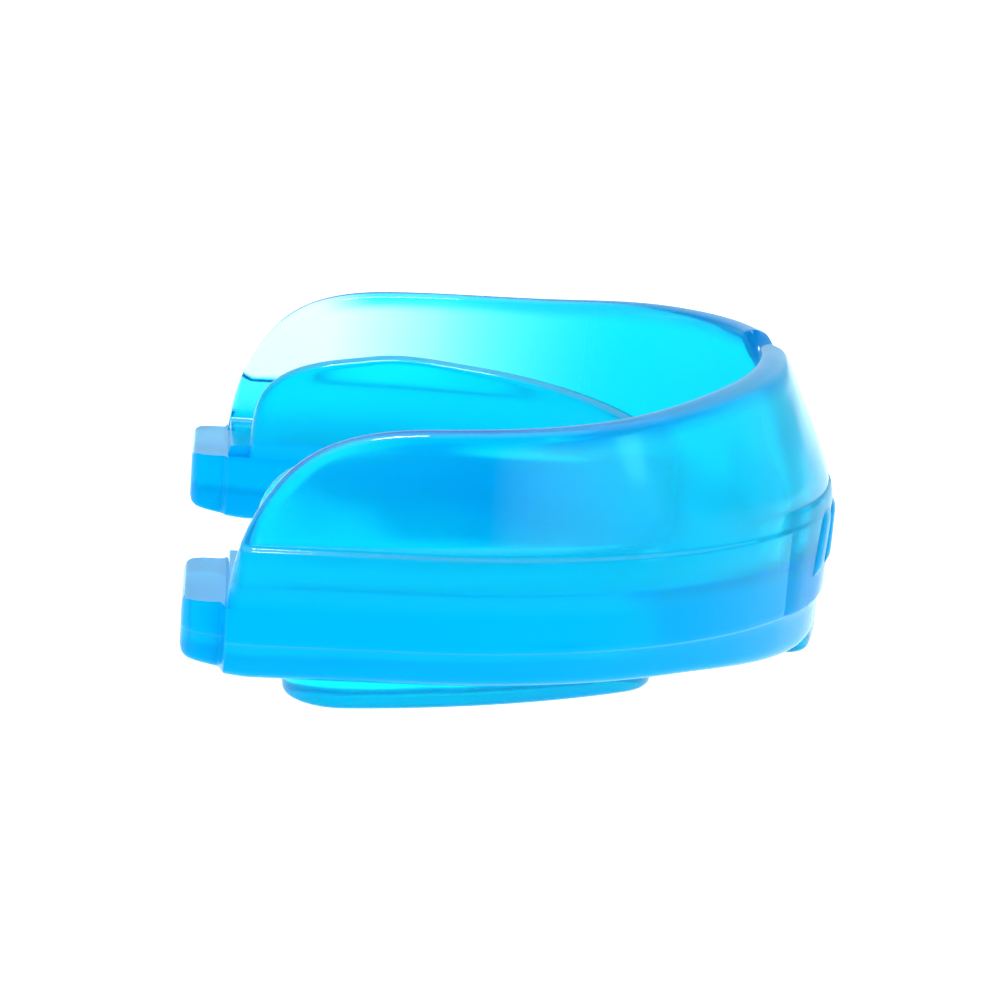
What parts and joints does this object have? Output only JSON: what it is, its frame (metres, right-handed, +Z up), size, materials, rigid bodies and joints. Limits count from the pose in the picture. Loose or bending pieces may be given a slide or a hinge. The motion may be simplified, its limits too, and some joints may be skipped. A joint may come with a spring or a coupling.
{
  "type": "mouthguard",
  "caption": "U-shaped boil-and-bite mouthguard for the upper teeth: translucent tray with a tall lip flange, tongue-side wall, rear tabs and molar pads.",
  "frame": {"origin": "centre of the bounding box at the underside of the molar pads", "axes": "+X across the mouth, -Y towards the lips, +Z up with the teeth channel facing up"},
  "size_m": [0.0584, 0.0513, 0.0233],
  "materials": {
    "shell_blue": "translucent, glossy",
    "liner_blue": "translucent, glossy",
    "flange_blue": "translucent, glossy",
    "band_blue": "translucent, glossy",
    "badge_blue": "translucent, glossy",
    "pad_blue": "translucent, glossy"
  },
  "bodies": {
    "root": {"outer_shell": "shell_blue", "fitting_liner": "liner_blue", "lip_flange": "flange_blue", "front_band": "band_blue", "front_badge": "badge_blue", "molar_pad_left": "pad_blue", "molar_pad_right": "pad_blue", "front_stop": "pad_blue"}
  },
  "joints": []
}
